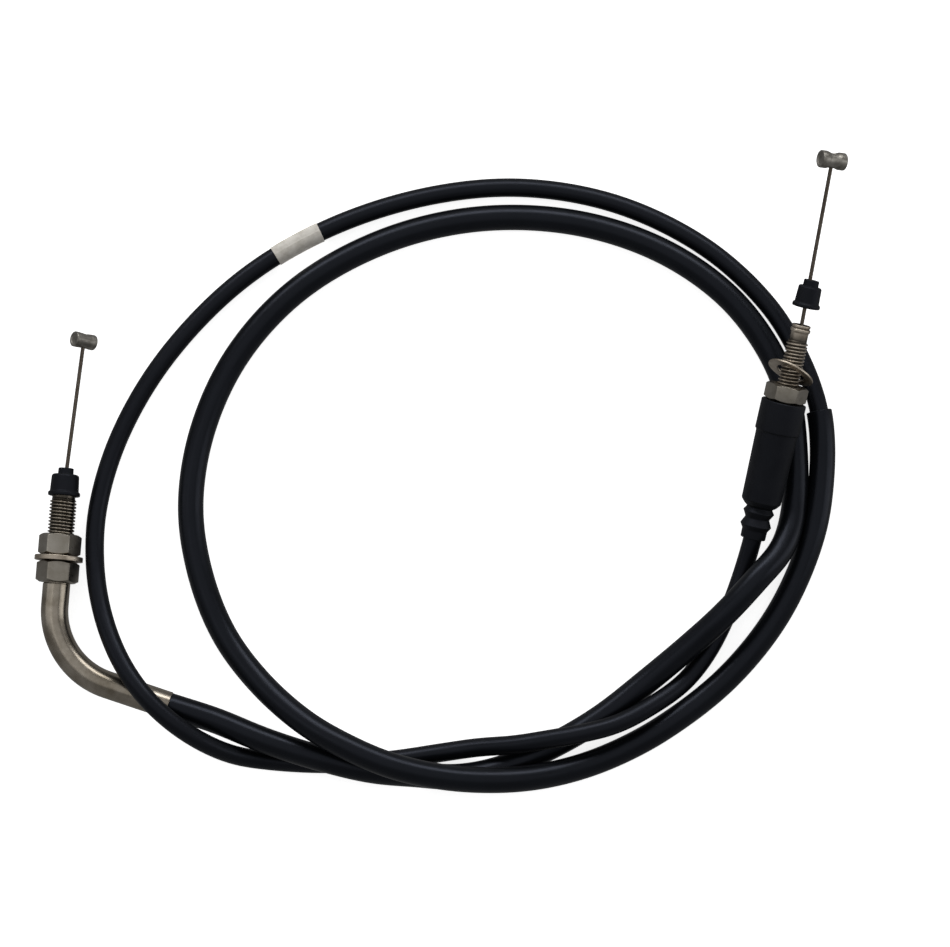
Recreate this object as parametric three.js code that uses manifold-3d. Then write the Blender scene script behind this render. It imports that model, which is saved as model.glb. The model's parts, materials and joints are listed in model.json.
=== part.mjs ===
// A motorcycle throttle cable lying in loose loops: a sheathed wire between a guide elbow and an inline adjuster.
// Units are millimetres, +Z is up, and the cable lies on the plane z = 0.
import * as THREE from "three";
import { mergeVertices } from "three/addons/utils/BufferGeometryUtils.js";
import Module from "manifold-3d";

const wasm = await Module();
wasm.setup();

// ---- Driving dimensions: diameters and lengths in millimetres, angles in degrees ----

const gap = 0.3; // left between two faces that meet
const runningClearance = 0.5; // on the diameter, where one piece slides or turns on another

// The casing's layers. Each tube's bore is its outer diameter less two walls, and the layer inside it
// is smaller than that bore by the play named here, on the diameter.
const play = { conduit: 0.7, liner: 0.6, wire: 0.6, sleeve: 0.8, ferrule: 0.5, nipple: 0.6, band: 0.5 };

function tube(outer, wall, sides) {
  return { outer, inner: outer - 2 * wall, sides };
}

const jacket = tube(7.0, 0.65, 10);
const conduit = tube(jacket.inner - play.conduit, 0.75, 8);
const liner = tube(conduit.inner - play.liner, 0.4, 6);
const wire = { diameter: liner.inner - play.wire, tail: 21, sides: 6 };
const sleeveWall = 0.9;
const sleeve = tube(jacket.outer + play.sleeve + 2 * sleeveWall, sleeveWall, 10);
const ferrule = { inner: jacket.outer + play.ferrule, wall: 0.45, length: 12.5, floor: 1.0 };
ferrule.outer = ferrule.inner + 2 * ferrule.wall;
ferrule.hole = liner.outer + gap;
const band = { wall: 0.3, length: 19.2, station: 23 };

// Stations along the casing: each stretch is a polygon tube with its own number of steps.
const bareLength = 722; // from the end of the boot to the start of the sleeve
const bareSteps = 35;
const sleevedSteps = 40;

// A stud's thread ends in a thinner neck with a bead at the mouth, both measured from the thread.
function stud(major, neckDepth, beadDepth, neckLength, beadLength) {
  return { major, neck: major - 2 * neckDepth, bead: major - 2 * beadDepth, neckLength, beadLength };
}

const guideThread = { ...stud(10, 0.7, 0.4, 6.7, 2.2), foot: -9.8 };
const pipe = { bore: 6.8, bendRadius: 29, turn: 75.6, leg: 24.3, mouth: 29.2, bendStart: -17.4 };
const socketWall = 0.65;
pipe.socket = ferrule.outer + runningClearance;
pipe.outer = pipe.socket + 2 * socketWall;
const adjusterThread = stud(8, 0.7, 0.2, 5.8, 2.2);
const adjuster = { bore: 5.4, mouth: 26.3, foot: -16 };
const bodyWall = 1.05;
const body = { top: -3.0, web: -19, webThickness: 2, foot: -34 };
body.socket = Math.max(ferrule.outer, adjusterThread.major) + runningClearance;
body.outer = body.socket + 2 * bodyWall;

// A nut's flats and the circle of its chamfers grow with the thread it turns on.
function nut(thread, flatWidth, height) {
  const acrossFlats = thread.major + flatWidth;
  return { acrossFlats, height, chamfer: acrossFlats * 0.95 };
}

const guideNut = nut(guideThread, 4, 7.8);
const lowerNutTurn = 8; // degrees between the two nuts of the guide
const adjusterNut = { ...nut(adjusterThread, 6, 6.2), foot: -2.7 };
const guideWasher = { outer: guideThread.major + 8, thickness: 1.8 };
const looseWasher = {
  outer: adjusterThread.major + 10,
  hole: adjusterThread.major + 3,
  thickness: 0.8,
  height: 8.2,
  leanAcross: -17,
  leanDepth: -24,
};

const boot = {
  outer: body.outer + 5.8,
  waist: body.outer + 4.6,
  tail: body.outer + 3.9,
  lip: -14.6,
  tailStart: -40.8,
  ribs: [-45.3, -50.4],
  ribDiameter: jacket.outer + 4.7,
  ribWidth: 3.2,
  neck: jacket.outer + 2.4,
  end: -55.5,
  pocketFoot: -34.6,
  clearance: 0.7,
};

// A cap's collar has the wire's hole, wide enough for the wire's lean, and its body covers the stud's bead.
function cap(stud, length, bottom) {
  const body = stud.bead + 1.8;
  return {
    length,
    bottom,
    body,
    flangeDiameter: body + 1.1,
    collarDiameter: wire.diameter + 4.4,
    hole: wire.diameter + 2.6,
    flange: 1.6,
    collar: 2.4,
    shoulder: 2,
  };
}

const guideCap = cap(guideThread, 10.5, 23.4);
const adjusterCap = cap(adjusterThread, 10.3, 32.9);

const guideNipple = { diameter: 5.8, waist: 5.4, length: 8.9, disc: 1.8, distance: 53, swivel: 39 };
const adjusterNipple = { diameter: 6.5, waist: 5.7, length: 10, disc: 2.6, distance: 61.5, swivel: 25 };
const nippleHole = wire.diameter + play.nipple;

// Where the two ends lie: heading is clockwise from +Y seen from above, rise is towards +Z.
const guidePlace = { at: [-142.65, -32.4, 9.05], heading: 4.1, rise: -1.75, wireLean: -2.85 };
const adjusterPlace = { at: [127.3, 28.0, 21.7], heading: 12.4, rise: 13, wireLean: 2.4 };
const layOffset = [1.35, 1.75, 0]; // moves the whole lay so that its middle is over the origin

// The centre line of the casing where it lies free, from the boot round to the elbow.
const freeRoute = [
  [113.5, -33, 6.6], [111, -41, 4.5], [107, -51.5, 3.6], [99.5, -66.5, 3.5], [90.5, -78, 4.8],
  [78, -87, 9.3], [64.5, -94, 12.8], [51, -97.5, 13.8], [39.5, -99.5, 13.8], [27, -101.5, 11.2],
  [13.5, -102.5, 6.6], [-0.5, -104.5, 4.1], [-17, -107, 3.5], [-34, -108.5, 3.5], [-50, -108.5, 3.5],
  [-64, -107.5, 4.8], [-76.5, -105.5, 9.6], [-87.5, -101, 15.4], [-99, -93.5, 19.4], [-110, -83, 20.2],
  [-119.5, -69, 16.8], [-126.5, -51, 11.2], [-129.5, -32, 6.6], [-128.5, -12, 4.3], [-120.5, 14.5, 3.5],
  [-103.5, 43.5, 3.7], [-76, 72, 4.1], [-44, 91.5, 4.2], [-6.5, 104, 3.8], [30, 107.5, 3.5],
  [66.5, 101, 3.5], [99.5, 84.5, 3.5], [122.5, 63, 3.5], [134, 44, 3.7], [140, 28, 4.7],
];
const sleevedRoute = [
  [142, 16.5, 5], [142, -1, 4.8], [138.5, -23, 4.8], [126, -52, 4.8], [106.5, -76.5, 4.9],
  [82, -95.5, 4.9], [63, -105.5, 5.3], [47, -111, 8.2], [30.5, -114, 13.3], [14, -114.5, 16.6],
  [-2, -113, 19.9], [-19, -109, 21.7], [-35.5, -102, 20.8], [-51, -93, 16.6], [-68, -78, 10.4],
  [-81.5, -60, 6.2], [-90.5, -37, 4.8], [-94, -12, 4.8], [-89.5, 16.5, 4.8], [-76.5, 44.5, 4.8],
  [-54, 69, 4.8], [-22, 87, 4.8], [13.5, 95.5, 4.8], [50.5, 94, 4.8], [82.5, 83.5, 4.8],
  [107, 66.5, 4.8], [122, 47, 4.8], [129.5, 29, 4.8], [132, 8.5, 4.9], [131.7, -11.5, 5.7],
  [127, -28, 10.8], [117, -40, 15.1], [105, -53, 13.6], [93, -64, 9.8], [77.5, -77, 5.7],
  [59, -91.5, 4.8], [41, -102, 4.8], [21.5, -110.5, 5.1], [5, -113.5, 7.2], [-9, -112.5, 10],
  [-26, -111, 12.1], [-45, -106.5, 12.5], [-65.5, -100, 11.8], [-84, -92.5, 10.5],
];

const finish = {
  rubber: { color: 0x17181a, roughness: 0.62, metalness: 0 },
  vinyl: { color: 0x141518, roughness: 0.42, metalness: 0 },
  sheath: { color: 0x17191d, roughness: 0.36, metalness: 0 },
  nickel: { color: 0x8c857a, roughness: 0.34, metalness: 1 },
  steelNut: { color: 0x7e7b74, roughness: 0.4, metalness: 1 },
  springSteel: { color: 0x6f6c68, roughness: 0.5, metalness: 1 },
  strand: { color: 0x5b5148, roughness: 0.45, metalness: 1 },
  zinc: { color: 0x5c5a55, roughness: 0.5, metalness: 1 },
  liner: { color: 0xd9d6cc, roughness: 0.5, metalness: 0 },
  tape: { color: 0xb8b5ae, roughness: 0.7, metalness: 0 },
};

// ---- Geometry helpers ----

const radians = THREE.MathUtils.degToRad;

function solidOf(geometry) {
  const bare = geometry.clone();
  bare.deleteAttribute("normal");
  bare.deleteAttribute("uv");
  const merged = mergeVertices(bare, 1e-4);
  return new wasm.Manifold(
    new wasm.Mesh({
      numProp: 3,
      vertProperties: merged.attributes.position.array,
      triVerts: new Uint32Array(merged.index.array),
    }),
  );
}

function geometryOf(solid) {
  const mesh = solid.getMesh();
  const geometry = new THREE.BufferGeometry();
  geometry.setAttribute("position", new THREE.BufferAttribute(mesh.vertProperties, 3));
  geometry.setIndex(new THREE.BufferAttribute(mesh.triVerts, 1));
  geometry.computeVertexNormals();
  return geometry;
}

function piece(name, geometry, look) {
  const mesh = new THREE.Mesh(geometry, new THREE.MeshStandardMaterial(look));
  mesh.name = name;
  return mesh;
}

// A body turned about Y: the profile is [radius, height] pairs, anticlockwise, closed by its first point.
function turned(profile, segments = 20) {
  const points = [...profile, profile[0]].map(([radius, height]) => new THREE.Vector2(radius, height));
  return new THREE.LatheGeometry(points, segments);
}

// A plain ring between two heights.
function ring(outer, inner, low, high, segments) {
  return turned([[inner / 2, low], [outer / 2, low], [outer / 2, high], [inner / 2, high]], segments);
}

// A solid rod about Y, whose profile runs up from the axis and back to it.
function rod(profile, segments = 20) {
  const points = profile.map(([radius, height]) => new THREE.Vector2(radius, height));
  return new THREE.LatheGeometry(points, segments);
}

function plainRod(diameter, low, high, segments) {
  return rod([[0, low], [diameter / 2, low], [diameter / 2, high], [0, high]], segments);
}

function polygon(diameter, sides) {
  const corner = (i) => {
    const angle = (2 * Math.PI * i) / sides;
    return new THREE.Vector2((diameter / 2) * Math.cos(angle), (diameter / 2) * Math.sin(angle));
  };
  return Array.from({ length: sides }, (_, i) => corner(i));
}

// A tube along a path, with a bore when an inner diameter is given.
function swept(path, steps, outer, inner, sides) {
  const section = new THREE.Shape(polygon(outer, sides));
  if (inner) section.holes.push(new THREE.Path(polygon(inner, sides)));
  return new THREE.ExtrudeGeometry(section, { steps, extrudePath: path, bevelEnabled: false });
}

// ---- Paths ----

// A run along the casing's centre line that stops at chosen shares of its length,
// so that tubes one inside another bend at the same places.
class Run extends THREE.Curve {
  constructor(line, stations) {
    super();
    this.line = line;
    this.stations = stations;
  }
  share(t) {
    const place = t * (this.stations.length - 1);
    const index = Math.min(Math.floor(place + 1e-6), this.stations.length - 2);
    return THREE.MathUtils.lerp(this.stations[index], this.stations[index + 1], place - index);
  }
  getPoint(t, target) {
    return this.line.getPointAt(this.share(t), target);
  }
  getPointAt(t, target) {
    return this.getPoint(t, target);
  }
  getTangentAt(t, target) {
    return this.line.getTangentAt(this.share(t), target);
  }
}

// The guide pipe's centre line in its own XY plane: down the Y axis, round the bend, and out along the leg.
class ElbowLine extends THREE.Curve {
  constructor(top, start, radius, turn, leg) {
    super();
    Object.assign(this, { top, start, radius, turn: radians(turn), leg });
    this.straight = top - start;
    this.arc = radius * this.turn;
    this.total = this.straight + this.arc + leg;
  }
  getPoint(t, target = new THREE.Vector3()) {
    const along = t * this.total;
    const angle = THREE.MathUtils.clamp((along - this.straight) / this.radius, 0, this.turn);
    const past = Math.max(0, along - this.straight - this.arc);
    const before = Math.max(0, this.straight - along);
    return target.set(
      this.radius * (1 - Math.cos(angle)) + past * Math.sin(this.turn),
      this.start + before - this.radius * Math.sin(angle) - past * Math.cos(this.turn),
      0,
    );
  }
  getTangent(t, target = new THREE.Vector3()) {
    const angle = THREE.MathUtils.clamp((t * this.total - this.straight) / this.radius, 0, this.turn);
    return target.set(Math.sin(angle), -Math.cos(angle), 0);
  }
}

// ---- Turned and hexagonal pieces shared by the two ends ----

function hexNut(size, bore, low) {
  const high = low + size.height;
  const corner = size.acrossFlats / Math.sqrt(3);
  const drop = (corner - size.chamfer / 2) * Math.tan(radians(30));
  const prism = new THREE.CylinderGeometry(corner, corner, size.height, 6);
  prism.rotateY(radians(30));
  prism.translate(0, low + size.height / 2, 0);
  const chamfers = rod(
    [
      [0, low],
      [size.chamfer / 2, low],
      [corner, low + drop],
      [corner, high - drop],
      [size.chamfer / 2, high],
      [0, high],
    ],
    30,
  );
  const blank = solidOf(prism).intersect(solidOf(chamfers));
  return geometryOf(blank.subtract(solidOf(plainRod(bore, low - 1, high + 1, 20))));
}

// A rubber cap: flange at the foot, straight body, rounded shoulder and a collar round the wire.
function dustCap(size, pocket, ceiling) {
  const low = size.bottom;
  const top = low + size.length;
  const shoulderTop = top - size.collar;
  const flange = size.flangeDiameter / 2;
  const bodyRadius = size.body / 2;
  const collar = size.collarDiameter / 2;
  return turned([
    [pocket / 2, low],
    [flange, low],
    [flange, low + size.flange * 0.6],
    [bodyRadius, low + size.flange],
    [bodyRadius, shoulderTop - size.shoulder],
    [bodyRadius - size.shoulder * 0.4, shoulderTop - size.shoulder * 0.3],
    [bodyRadius - size.shoulder, shoulderTop],
    [collar, shoulderTop],
    [collar, top],
    [size.hole / 2, top],
    [size.hole / 2, ceiling],
    [pocket / 2, ceiling],
  ]);
}

// A barrel nipple across the wire: a disc at each end of a slightly thinner waist, with a hole for the wire.
function barrelNipple(size) {
  const half = size.length / 2;
  const barrel = rod([
    [0, -half],
    [size.diameter / 2 - 0.4, -half],
    [size.diameter / 2, 0.4 - half],
    [size.diameter / 2, size.disc - half],
    [size.waist / 2, size.disc + 0.4 - half],
    [size.waist / 2, half - size.disc - 0.4],
    [size.diameter / 2, half - size.disc],
    [size.diameter / 2, half - 0.4],
    [size.diameter / 2 - 0.4, half],
    [0, half],
  ]);
  barrel.rotateZ(-Math.PI / 2);
  barrel.rotateY(radians(size.swivel));
  const hole = plainRod(nippleHole, -size.diameter, size.diameter, 16);
  return geometryOf(solidOf(barrel).subtract(solidOf(hole)));
}

// The moving wire end: from inside the bore to inside the nipple, straight, at its own small lean.
function wireEnd(suffix, nipple, mouth, lean) {
  const group = new THREE.Group();
  group.position.y = mouth;
  group.rotation.z = radians(lean);
  const strandEnd = nipple.distance + nipple.waist / 2 - gap;
  group.add(piece("inner_wire_end_" + suffix, plainRod(wire.diameter, -wire.tail, strandEnd, 12), finish.strand));
  const barrel = piece("barrel_nipple_" + suffix, barrelNipple(nipple), finish.zinc);
  barrel.position.y = nipple.distance;
  group.add(barrel);
  return group;
}

// The metal cup that ends the casing: its open end faces -Y and its floor stops the casing at height `floorTop`.
function casingFerrule(floorTop) {
  const low = floorTop - ferrule.length;
  const floorFace = floorTop - ferrule.floor;
  return turned([
    [ferrule.inner / 2, low],
    [ferrule.outer / 2, low],
    [ferrule.outer / 2, floorTop],
    [ferrule.hole / 2, floorTop],
    [ferrule.hole / 2, floorFace],
    [ferrule.inner / 2, floorFace],
  ]);
}

function fittingGroup(place) {
  const group = new THREE.Group();
  group.position.set(...place.at);
  group.rotation.set(radians(place.rise), 0, radians(-place.heading), "ZXY");
  group.updateMatrixWorld(true);
  return group;
}

// ---- The guide end: elbow pipe, nuts, washer, cap, wire and nipple ----

const guideEnd = fittingGroup(guidePlace);
const elbowLine = new ElbowLine(pipe.mouth, pipe.bendStart, pipe.bendRadius, pipe.turn, pipe.leg);
const legDirection = elbowLine.getTangent(1);
const legEnd = elbowLine.getPoint(1);
const guideNutBore = guideThread.major + runningClearance;

function elbowPipe() {
  const joinedAt = 1.5; // the swept part starts this far above the bend, inside the turned part
  const bent = new ElbowLine(pipe.bendStart + joinedAt, pipe.bendStart, pipe.bendRadius, pipe.turn, pipe.leg);
  const foot = pipe.bendStart + 0.5;
  const threadTop = pipe.mouth - guideThread.neckLength;
  const bead = pipe.mouth - guideThread.beadLength;
  const shank = rod([
    [0, foot],
    [pipe.outer / 2, foot],
    [pipe.outer / 2, guideThread.foot - 1],
    [guideThread.major / 2, guideThread.foot],
    [guideThread.major / 2, threadTop - 0.6],
    [guideThread.neck / 2, threadTop],
    [guideThread.neck / 2, bead],
    [guideThread.bead / 2, bead + 0.5],
    [guideThread.bead / 2, pipe.mouth - 0.5],
    [guideThread.neck / 2 - 0.2, pipe.mouth],
    [0, pipe.mouth],
  ]);
  const straightBore = plainRod(pipe.bore, pipe.bendStart + 1, pipe.mouth + 1, 16);
  const socket = plainRod(pipe.socket, -(ferrule.length + gap), 1, 16);
  const turnToLeg = new THREE.Quaternion().setFromUnitVectors(new THREE.Vector3(0, 1, 0), legDirection);
  socket.applyQuaternion(turnToLeg);
  socket.translate(legEnd.x, legEnd.y, 0);
  return geometryOf(
    solidOf(swept(bent, 14, pipe.outer, 0, 12))
      .add(solidOf(shank))
      .subtract(solidOf(swept(bent, 14, pipe.bore, 0, 10)))
      .subtract(solidOf(straightBore))
      .subtract(solidOf(socket)),
  );
}

guideEnd.add(piece("elbow_pipe", elbowPipe(), finish.nickel));
guideEnd.add(
  piece(
    "washer_a",
    ring(guideWasher.outer, guideNutBore, -guideWasher.thickness / 2, guideWasher.thickness / 2, 30),
    finish.nickel,
  ),
);
const nutFace = guideWasher.thickness / 2 + gap;
const upperNut = hexNut(guideNut, guideNutBore, nutFace);
const lowerNut = hexNut(guideNut, guideNutBore, -nutFace - guideNut.height);
lowerNut.rotateY(radians(lowerNutTurn));
guideEnd.add(piece("lock_nut_a_upper", upperNut, finish.steelNut));
guideEnd.add(piece("lock_nut_a_lower", lowerNut, finish.steelNut));
const guidePocket = guideThread.bead + runningClearance;
guideEnd.add(piece("dust_cap_a", dustCap(guideCap, guidePocket, pipe.mouth + gap), finish.rubber));
guideEnd.add(wireEnd("a", guideNipple, pipe.mouth, guidePlace.wireLean));

const guideFerrule = piece("casing_ferrule_a", casingFerrule(ferrule.length), finish.nickel);
guideFerrule.quaternion.setFromUnitVectors(new THREE.Vector3(0, -1, 0), legDirection);
guideFerrule.position.copy(legEnd);
guideEnd.add(guideFerrule);

// ---- The adjuster end: threaded body, hollow screw, nut, loose washer, boot, cap, wire and nipple ----

const adjusterEnd = fittingGroup(adjusterPlace);
const screwBore = adjusterThread.major + runningClearance;

function adjusterScrew() {
  const threadTop = adjuster.mouth - adjusterThread.neckLength;
  const bead = adjuster.mouth - adjusterThread.beadLength;
  return turned([
    [adjuster.bore / 2, adjuster.foot],
    [adjusterThread.major / 2 - 0.5, adjuster.foot],
    [adjusterThread.major / 2, adjuster.foot + 0.5],
    [adjusterThread.major / 2, threadTop - 0.5],
    [adjusterThread.neck / 2, threadTop],
    [adjusterThread.neck / 2, bead],
    [adjusterThread.bead / 2, bead + 0.5],
    [adjusterThread.bead / 2, adjuster.mouth - 0.5],
    [adjusterThread.neck / 2, adjuster.mouth],
    [adjuster.bore / 2, adjuster.mouth],
  ]);
}

const pocketTop = body.web - body.webThickness;

function adjusterBody() {
  const pocket = body.socket / 2;
  return turned([
    [pocket, body.foot],
    [body.outer / 2, body.foot],
    [body.outer / 2, body.top],
    [screwBore / 2, body.top],
    [screwBore / 2, body.web],
    [adjuster.bore / 2, body.web],
    [adjuster.bore / 2, pocketTop],
    [pocket, pocketTop],
  ]);
}

function rubberBoot() {
  const pocket = body.outer / 2 + gap;
  const casingHole = (jacket.outer + boot.clearance) / 2;
  const neck = boot.neck / 2;
  const rib = boot.ribDiameter / 2;
  const ribProfile = (centre) => [
    [neck, centre - boot.ribWidth / 2],
    [rib, centre - boot.ribWidth / 4],
    [rib, centre + boot.ribWidth / 4],
    [neck, centre + boot.ribWidth / 2],
  ];
  return turned([
    [casingHole, boot.end],
    [neck, boot.end],
    ...[...boot.ribs].reverse().flatMap(ribProfile),
    [boot.tail / 2 - 1.2, boot.tailStart - 2.2],
    [boot.tail / 2, boot.tailStart],
    [boot.waist / 2, boot.lip - 0.6],
    [boot.outer / 2, boot.lip],
    [boot.outer / 2, body.top - 0.4],
    [boot.outer / 2 - 0.4, body.top],
    [pocket, body.top],
    [pocket, boot.pocketFoot],
    [casingHole, boot.pocketFoot - 1],
  ]);
}

adjusterEnd.add(piece("adjuster_screw", adjusterScrew(), finish.nickel));
adjusterEnd.add(piece("adjuster_body", adjusterBody(), finish.nickel));
adjusterEnd.add(
  piece("lock_nut_b", hexNut(adjusterNut, screwBore, adjusterNut.foot), finish.steelNut),
);
const leaningWasher = piece(
  "washer_b",
  ring(looseWasher.outer, looseWasher.hole, -looseWasher.thickness / 2, looseWasher.thickness / 2, 30),
  finish.nickel,
);
leaningWasher.position.y = looseWasher.height;
leaningWasher.rotation.set(radians(looseWasher.leanDepth), 0, radians(looseWasher.leanAcross), "ZXY");
adjusterEnd.add(leaningWasher);
adjusterEnd.add(piece("rubber_boot", rubberBoot(), finish.rubber));
const capPocket = adjusterThread.bead + runningClearance;
const capCeiling = adjusterCap.bottom + adjusterCap.length - adjusterCap.collar - 1;
adjusterEnd.add(piece("dust_cap_b", dustCap(adjusterCap, capPocket, capCeiling), finish.rubber));
adjusterEnd.add(wireEnd("b", adjusterNipple, adjuster.mouth, adjusterPlace.wireLean));
adjusterEnd.add(piece("casing_ferrule_b", casingFerrule(pocketTop - gap), finish.nickel));

// ---- The casing and its sleeve, along one centre line ----

const onAdjuster = (height) => adjusterEnd.localToWorld(new THREE.Vector3(0, height, 0));
const onLeg = (depth) => guideEnd.localToWorld(legEnd.clone().addScaledVector(legDirection, -depth));
const casingStart = pocketTop - ferrule.floor - 2 * gap;
const seatDepth = ferrule.length - ferrule.floor - gap;
const routePoints = [
  onAdjuster(casingStart),
  onAdjuster((casingStart + boot.end) / 2),
  onAdjuster(boot.end),
  ...freeRoute.map((point) => new THREE.Vector3(...point)),
  ...sleevedRoute.map((point) => new THREE.Vector3(...point)),
  onLeg(-gap),
  onLeg(seatDepth),
];
const bootEndIndex = 2;
const sleeveEndIndex = routePoints.length - 2;
const centreLine = new THREE.CatmullRomCurve3(routePoints, false, "centripetal");
const divisionsBetween = 40;
centreLine.arcLengthDivisions = divisionsBetween * (routePoints.length - 1);
const arcs = centreLine.getLengths();
const totalLength = arcs.at(-1);
const bootEndShare = arcs[bootEndIndex * divisionsBetween] / totalLength;
const sleeveEndShare = arcs[sleeveEndIndex * divisionsBetween] / totalLength;
const sleeveStartShare = bootEndShare + bareLength / totalLength;

function evenShares(from, to, steps) {
  return Array.from({ length: steps + 1 }, (_, i) => THREE.MathUtils.lerp(from, to, i / steps));
}

const bareShares = evenShares(bootEndShare, sleeveStartShare, bareSteps);
const sleevedShares = evenShares(sleeveStartShare, sleeveEndShare, sleevedSteps);
const casingRun = new Run(centreLine, [0, ...bareShares, ...sleevedShares.slice(1), 1]);
const sleeveRun = new Run(centreLine, sleevedShares);

function casingTube(name, size, look) {
  return piece(name, swept(casingRun, casingRun.stations.length - 1, size.outer, size.inner, size.sides), look);
}

// The tape lies along one straight step of the casing.
function idBand() {
  const [from, to] = [bareShares[band.station], bareShares[band.station + 1]];
  const start = centreLine.getPointAt(from);
  const end = centreLine.getPointAt(to);
  const middle = start.clone().lerp(end, 0.5);
  const along = end.clone().sub(start).normalize();
  const inner = jacket.outer + play.band;
  const wrap = ring(inner + 2 * band.wall, inner, -band.length / 2, band.length / 2, 16);
  wrap.applyQuaternion(new THREE.Quaternion().setFromUnitVectors(new THREE.Vector3(0, 1, 0), along));
  wrap.translate(middle.x, middle.y, middle.z);
  return wrap;
}

const harness = new THREE.Group();
harness.name = "throttle_cable";
harness.position.set(...layOffset);
harness.add(guideEnd, adjusterEnd);
harness.add(casingTube("casing_jacket", jacket, finish.vinyl));
harness.add(casingTube("spiral_conduit", conduit, finish.springSteel));
harness.add(casingTube("casing_liner", liner, finish.liner));
harness.add(
  casingTube("inner_wire_core", { outer: wire.diameter, inner: 0, sides: wire.sides }, finish.strand),
);
harness.add(
  piece("protective_sleeve", swept(sleeveRun, sleevedSteps, sleeve.outer, sleeve.inner, sleeve.sides), finish.sheath),
);
harness.add(piece("id_band", idBand(), finish.tape));

export default harness;
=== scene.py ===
import json

import bpy
import mathutils
import numpy as np
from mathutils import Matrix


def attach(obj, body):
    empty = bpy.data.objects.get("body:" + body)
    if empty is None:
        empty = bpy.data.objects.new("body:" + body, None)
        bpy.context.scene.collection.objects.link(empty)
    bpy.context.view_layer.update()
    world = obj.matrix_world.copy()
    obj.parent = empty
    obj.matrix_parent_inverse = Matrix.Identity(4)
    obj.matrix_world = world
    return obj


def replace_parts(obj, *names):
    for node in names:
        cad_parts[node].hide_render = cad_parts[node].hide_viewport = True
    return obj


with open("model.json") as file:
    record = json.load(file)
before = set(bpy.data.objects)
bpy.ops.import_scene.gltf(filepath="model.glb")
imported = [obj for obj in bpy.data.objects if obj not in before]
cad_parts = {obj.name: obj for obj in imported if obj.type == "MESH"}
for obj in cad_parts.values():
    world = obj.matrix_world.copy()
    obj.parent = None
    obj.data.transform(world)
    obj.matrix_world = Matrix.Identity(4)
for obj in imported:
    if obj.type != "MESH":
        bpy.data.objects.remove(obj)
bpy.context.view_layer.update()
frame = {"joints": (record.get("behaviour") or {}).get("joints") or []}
joints = {joint["name"]: joint for joint in frame["joints"]}
mm = 0.001

cameraValues = {
    "aim": (0.01365, 0.00115, 0.008),
    "distance": 1.4,  # a long view, with little perspective
    "tilt": 4.0,  # degrees from straight down, leaning to the near side
    "lens": 142.2,
    "farthest": 20,  # metres, well past the floor
}


def makeCamera(values):
    tilt = np.radians(values["tilt"])
    data = bpy.data.cameras.new("camera")
    data.lens = values["lens"]
    data.clip_end = values["farthest"]
    camera = bpy.data.objects.new("camera", data)
    direction = np.array([0, -np.sin(tilt), np.cos(tilt)])
    camera.location = np.array(values["aim"]) + values["distance"] * direction
    camera.rotation_euler = (tilt, 0, 0)
    bpy.context.collection.objects.link(camera)
    bpy.context.scene.camera = camera


makeCamera(cameraValues)
print("camera placed")


def unit(vector):
    return vector / np.linalg.norm(vector, axis=-1, keepdims=True)


# A fitting's own axes: Y along its axis, X level and across it, Z over both.
def fittingPlace(origin, axis):
    yAxis = unit(np.array(axis, float))
    xAxis = unit(np.cross(yAxis, [0, 0, 1]))
    matrix = np.eye(4)
    matrix[:3, :3] = np.stack([xAxis, yAxis, np.cross(xAxis, yAxis)], 1)
    matrix[:3, 3] = origin
    return matrix


def into(matrix, points):
    return points @ matrix[:3, :3].T + matrix[:3, 3]


# A turn about X, Y or Z: the two other axes move by the cosine and sine of the angle.
def turn(axisName, degrees):
    cosine, sine = np.cos(np.radians(degrees)), np.sin(np.radians(degrees))
    first, second = {"x": (1, 2), "y": (2, 0), "z": (0, 1)}[axisName]
    matrix = np.eye(4)
    matrix[first, first] = matrix[second, second] = cosine
    matrix[first, second], matrix[second, first] = -sine, sine
    return matrix


def lift(height):
    matrix = np.eye(4)
    matrix[1, 3] = height * mm
    return matrix


guide = fittingPlace(joints["nut_a_upper_turn"]["pos_m"], joints["nut_a_upper_turn"]["axis"])
adjuster = fittingPlace(joints["nut_b_turn"]["pos_m"], joints["nut_b_turn"]["axis"])


# Quads over rows and columns: corner (r, c) joins (r, c+1), (r+1, c+1) and (r+1, c). Columns always
# close on themselves, and rows do on a piece whose skin turns in at both ends.
def gridFaces(rows, columns, closeRows):
    row, column = np.meshgrid(np.arange(rows if closeRows else rows - 1), np.arange(columns), indexing="ij")
    nextRow, nextColumn = (row + 1) % rows, (column + 1) % columns
    pairs = [(row, column), (row, nextColumn), (nextRow, nextColumn), (nextRow, column)]
    return np.stack([r * columns + c for r, c in pairs], -1).reshape(-1, 4)


# The sign of the volume, as the sum over the faces of corner a dot (b cross c).
def facesOutward(vertices, quads):
    a, b, c, d = (vertices[quads[:, i]] for i in range(4))
    return (a * np.cross(b, c)).sum() + (a * np.cross(c, d)).sum() > 0


# The UV map "lay": U is the distance along in metres, V the share of a turn, rising past 1 at the seam.
def layUvs(mesh, loops, quads, columns, along):
    inGrid = loops < len(along) * columns
    uv = np.zeros((len(loops), 2))
    uv[inGrid, 0] = along[loops[inGrid] // columns]
    uv[inGrid, 1] = (loops[inGrid] % columns) / columns
    share = uv[: quads.size, 1].reshape(-1, 4)
    overSeam = np.ptp(share, axis=1, keepdims=True) > 0.5
    uv[: quads.size, 1] = np.where(overSeam & (share < 0.5), share + 1, share).ravel()
    mesh.uv_layers.new(name="lay").data.foreach_set("uv", uv.ravel())


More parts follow.
